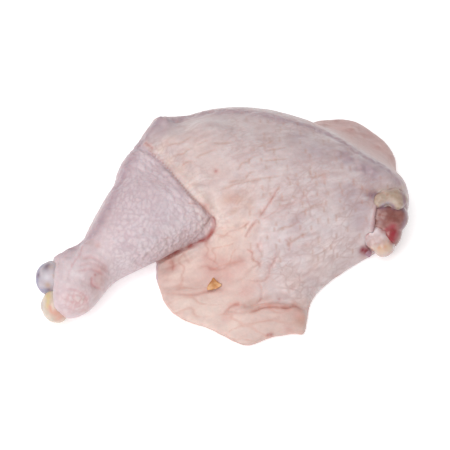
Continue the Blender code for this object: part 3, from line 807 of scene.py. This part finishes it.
# The wet tissues at the two ends, and the scrap of cuticle. For each: the node that it replaces, its slot in the
# record, its material, the two colours that cloud into each other over so many mm, its roughness, how many mm it
# swells to meet its neighbours, how much more it swells along the edge of the cut, its own swellings and dips
# (pixel, radius and height in mm), how high its lumps are, and its marks: a tint with round patches (pixel and
# radius in mm) and strokes (pixels and width in mm).
TISSUES = {
    # Cartilage: glassy and milky, grey-blue where bone shows through it.
    "hock_cartilage": {
        "node": "shank_bone",
        "slot": "cartilage",
        "material": "hyaline_cartilage",
        "clouds": ("c4babf", "b3a9b1", 4),
        "roughness": 0.6,
        "swell": 0.8,
        "fill": 0.0,
        "shape": (
            ((52, 266), 2.0, 0.5), ((53, 275), 2.0, 0.5), ((52, 286), 2.0, 0.4), ((46, 279), 4.0, -1.0),
            ((40, 290), 2.0, 0.8),
        ),
        "lumps": 0.5,
        "marks": (
            (
                "9691ab",
                (((43, 290), 2.2),),
                ((((42, 267), (39, 272), (38, 280), (40, 287), (46, 290)), 1.5),),
            ),
            # A paler middle, partly the cartilage's milky colour and partly painted highlight.
            ("cdc4c9", (((47, 277), 2.6),), ()),
            ("745d6e", (((48, 267), 2.1), ((39, 275), 1.4), ((49, 289), 1.4)), ()),
            ("b69c8e", (((48, 285), 1.4), ((51, 268), 1.3)), ((((53, 264), (54, 274), (54, 284)), 0.8),)),
        ),
    },
    # Sinew with fat in it: smooth, cream, yellow where thick.
    "hock_sinew": {
        "node": "hock_pad",
        "slot": "tendon",
        "material": "tendon_and_fat",
        "clouds": ("d3c1b4", "c6b4a6", 4),
        "roughness": 0.4,
        "swell": 0.35,
        "fill": 0.0,
        "shape": (),
        "lumps": 0.6,
        "marks": (
            ("d6bf90", (((48, 296), 1.8),), ((((49, 291), (49, 298), (48, 306)), 1.3),)),
            ("d3a090", (((56, 313), 2.6), ((60, 317), 2.6)), ((((50, 307), (52, 312), (58, 314)), 1.2),)),
            ("baacaa", (), ((((43, 294), (42, 302), (43, 309)), 1.0),)),
        ),
    },
    # Gristle over the bone's end: pink-white and slippery, with a cream cap.
    "thigh_bone_end": {
        "node": "thigh_bone",
        "slot": "bone",
        "material": "gristle_over_bone",
        "clouds": ("ccb8b9", "bf9f9c", 3),
        "roughness": 0.3,
        "swell": 0.7,
        "fill": 1.4,
        "shape": (
            ((377, 231), 2.4, 0.5), ((373, 244), 2.0, 0.5), ((383, 241), 2.0, 0.4), ((367, 236), 2.0, 0.9),
        ),
        "lumps": 0.7,
        "marks": (
            ("d3b59e", (((381, 250), 3.8), ((388, 247), 3.0), ((374, 248), 2.4)), ()),
            ("c8946c", (((380, 247), 1.3), ((385, 246), 1.0)), ()),
            (
                "a5605f",
                (((391, 242), 1.8), ((366, 250), 2.2), ((383, 229), 1.5)),
                ((((370, 226), (368, 232), (367, 237)), 0.8), (((374, 223), (380, 225), (386, 232)), 0.9)),
            ),
            ("ded0d3", (((376, 232), 2.0), ((381, 236), 1.2)), ()),
        ),
    },
    # Dark thigh meat under its thin membrane: brown-red, glassy wet, blood red low down.
    "hip_meat": {
        "node": "hip_muscle",
        "slot": "muscle",
        "material": "thigh_meat",
        "clouds": ("9c6c64", "865049", 4),
        "roughness": 0.28,
        "swell": 0.8,
        "fill": 2.6,
        "shape": (
            ((382, 214), 3.0, 0.5), ((393, 226), 2.0, -0.6), ((396, 234), 2.2, -0.5),
            ((375, 212), 2.2, 1.5), ((374, 220), 2.2, 1.5), ((374, 227), 2.0, 1.2),
        ),
        "lumps": 0.5,
        "marks": (
            ("a98684", (((376, 216), 1.8), ((380, 221), 1.8)), ()),
            ("c9a4a2", (((378, 226), 1.6), ((384, 229), 1.2)), ()),
            ("9c2434", (((392, 227), 2.4), ((394, 234), 3.2), ((391, 240), 2.6), ((387, 229), 1.5)), ()),
            (
                "8d6b78",
                (),
                (
                    (((372, 214), (377, 210), (384, 207), (391, 206), (398, 209)), 1.5),
                    (((402, 206), (405, 213), (404, 221), (402, 227)), 1.7),
                ),
            ),
        ),
    },
    # Fat under the skin's edge: soft, waxy and tan-yellow, with a grey membrane in its notch.
    "hip_fat_pad": {
        "node": "hip_fat",
        "slot": "fat",
        "material": "chicken_fat",
        "clouds": ("bca696", "ab9280", 3),
        "roughness": 0.4,
        "swell": 0.7,
        "fill": 0.5,
        "shape": (
            ((388, 207), 2.6, -2.4), ((376, 206), 1.9, 1.3), ((399, 205), 1.9, 1.2), ((385, 197), 1.6, -0.5),
            ((380, 191), 2.2, -0.7), ((391, 190), 2.2, -0.7), ((402, 191), 2.0, -0.6),
        ),
        "lumps": 0.7,
        "marks": (
            ("c4aca6", (), ((((373, 192), (384, 190), (396, 190), (405, 191)), 1.9),)),
            ("bdafb9", (((388, 205), 2.0), ((384, 206), 1.5), ((392, 206), 1.2)), ()),
            (
                "a37f6c",
                (((387, 195), 1.0), ((374, 196), 1.3), ((395, 193), 1.0)),
                ((((376, 194), (384, 193)), 0.6),),
            ),
            (
                "93737f",
                (),
                (
                    (((402, 195), (404, 203), (404, 209)), 1.8),
                    (((375, 210), (382, 207), (390, 206), (400, 210)), 1.1),
                ),
            ),
        ),
    },
    # Dried cuticle: a horny yellow-brown flake.
    "cuticle_scrap": {
        "node": "skin_fleck",
        "slot": "cuticle",
        "material": "dried_cuticle",
        "clouds": ("cf9560", "b97a3c", 1.6),
        "roughness": 0.5,
        "swell": -0.1,
        "fill": 0.0,
        "shape": (
            ((207, 287), 1.4, 0.5), ((220, 279), 1.5, -0.4), ((222, 284), 1.2, 0.5), ((213, 289), 1.4, -0.4),
        ),
        "lumps": 0.45,
        "marks": (
            ("dcae80", (((209, 288), 1.3), ((220, 285), 1.5)), ()),
            ("a8682e", (((213, 281), 1.2),), ()),
        ),
    },
}
# A tag of wet membrane at the front of the cut: its middle, and its half sizes in mm across, upward and deep.
TAG_PIXEL = (368, 254)
TAG_AXES = ((3.2, 0.3, 0.0), (-0.8, 1.6, 1.2), (0.0, -0.5, 0.7))
TAG = {
    "material": "wet_membrane",
    "clouds": ("b3919d", "a07d8b", 3),
    "roughness": 0.35,
    "marks": (("7f3a44", (((365, 250), 1.2),), ()),),
}
WET = ("thigh_bone_end", "hip_meat")


def tissue_material(tissue, wetness):
    material, tree, shader, place = new_material(
        tissue["material"],
        {
            "Subsurface Weight": 0.3,
            "Subsurface Radius": (1.0, 0.4, 0.3),
            "Subsurface Scale": 1.6 * MM,
            "IOR": 1.42,
            "Roughness": tissue["roughness"],
            "Coat Weight": wetness,
            "Coat Roughness": 0.15,
        },
    )
    one, other, size = tissue["clouds"]
    cloud = add(tree, "ShaderNodeTexNoise", {"Vector": place, "Scale": per_mm(size), "Detail": 4.0})
    spread = add(tree, "ShaderNodeMapRange", {"Value": cloud.outputs["Fac"], "From Min": 0.38, "From Max": 0.62})
    colour = add(
        tree, "ShaderNodeMix", {0: spread.outputs[0], 6: linear(one), 7: linear(other)}, data_type="RGBA"
    ).outputs[2]
    for i, (tint, _, _) in enumerate(tissue["marks"]):
        amount = add(tree, "ShaderNodeAttribute", attribute_name=f"mark_{i}")
        colour = add(
            tree, "ShaderNodeMix", {0: amount.outputs["Fac"], 6: colour, 7: linear(tint)}, data_type="RGBA"
        ).outputs[2]
    tree.links.new(colour, shader.inputs["Base Color"])
    pores = add(tree, "ShaderNodeTexNoise", {"Vector": place, "Scale": per_mm(1.1), "Detail": 3.0})
    bump = add(tree, "ShaderNodeBump", {"Strength": 0.3, "Distance": 0.3 * MM, "Height": pores.outputs["Fac"]})
    tree.links.new(bump.outputs[0], shader.inputs["Normal"])
    return material


# The pieces that show at the two ends


def make_tissue(name, tissue):
    """A fine, swollen and lumpy copy of a node, with its marks."""
    thing = fine_copy(tissue["node"], name, PAD_MESH, 4)
    places, normals = read(thing, "co"), read(thing, "normal")
    lift = tissue["swell"] + tissue["lumps"] * unevenness(places, 6, len(name))
    lift += 0.3 * tissue["lumps"] * unevenness(places, 2.2, len(name) + 1)
    lift += tissue["fill"] * band(places, CUT_EDGE, 1.8)
    for pixel, radius, height in tissue["shape"]:
        lift += height * spots(places, ((pixel, radius),))
    places += lift[:, None] * normals
    places[:, 2] = np.maximum(places[:, 2], 0)
    write_places(thing, places)
    for i, (_, patches, strokes) in enumerate(tissue["marks"]):
        amounts = spots(places, patches)
        for course, width in strokes:
            amounts = np.maximum(amounts, band(places, course, width))
        paint(thing, f"mark_{i}", amounts)
    thing.data.materials.append(tissue_material(tissue, 0.5 if name in WET else 0.25))
    return thing


def make_hanging_scrap():
    """A tag of membrane that hangs below the skin at the front of the cut."""
    bpy.ops.object.select_all(action="DESELECT")
    bpy.ops.mesh.primitive_uv_sphere_add(segments=40, ring_count=24, radius=1.0)
    scrap = bpy.context.object
    scrap.name = "hanging_membrane"
    tag = read(scrap, "co") * MM
    tag[:, 0] *= 0.62 + 0.38 * tag[:, 1]
    places = np.array(seen_at(*TAG_PIXEL)) + tag @ np.array(TAG_AXES)
    places += 0.35 * unevenness(places, 2.0, 41)[:, None] * tag
    write_places(scrap, places)
    scrap.data.materials.append(tissue_material(TAG, 0.4))
    paint(scrap, "mark_0", spots(places, TAG["marks"][0][1]))
    return scrap


def make_pieces():
    skin = make_skin()
    skin.data.materials.append(skin_material())
    pieces = [skin]
    for name, tissue in TISSUES.items():
        pieces.append(make_tissue(name, tissue))
    pieces.append(make_hanging_scrap())
    for piece in pieces:
        pick(piece)
        bpy.ops.object.shade_smooth()
        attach(piece, "root")


# Table and light


TABLE_RADIUS = 3.0
TABLE_TOP = -0.0002  # a hair under the leg, so that the two faces don't flicker
# Each lamp: its name, its place and its side in m, and its power in W.
LAMPS = (
    ("front_softbox", (-0.7, -1.1, 1.1), 1.1, 11.5),
    ("top_softbox", (-0.25, 0.0, 1.7), 1.4, 13),
)
LAMP_AIM = Vector((0, 0, 0.02))
ROOM_LIGHT = 0.42


def make_table():
    bpy.ops.object.select_all(action="DESELECT")
    bpy.ops.mesh.primitive_circle_add(
        vertices=96, radius=TABLE_RADIUS, fill_type="NGON", location=(0, 0, TABLE_TOP)
    )
    table = bpy.context.object
    table.name = "table"
    bpy.ops.object.transform_apply(location=True, rotation=True, scale=True)
    glow = {"Emission Color": linear("ffffff"), "Emission Strength": 0.37}
    material = new_material("lit_white_acrylic", {"Roughness": 0.7, "Base Color": linear("f6f6f6"), **glow})[0]
    table.data.materials.append(material)


def add_light(name, place, size, power):
    data = bpy.data.lights.new(name, "AREA")
    data.shape = "SQUARE"
    data.size = size
    data.energy = power
    lamp = bpy.data.objects.new(name, data)
    lamp.location = place
    lamp.rotation_euler = (LAMP_AIM - Vector(place)).to_track_quat("-Z", "Y").to_euler()
    bpy.context.scene.collection.objects.link(lamp)


def set_light():
    for lamp in LAMPS:
        add_light(*lamp)
    world = bpy.data.worlds.new("studio")
    world.use_nodes = True
    background = world.node_tree.nodes["Background"]
    background.inputs["Color"].default_value = (1, 1, 1, 1)
    background.inputs["Strength"].default_value = ROOM_LIGHT
    bpy.context.scene.world = world
    bpy.context.scene.view_settings.view_transform = "Standard"


make_pieces()
make_table()
set_light()

bpy.context.view_layer.update()
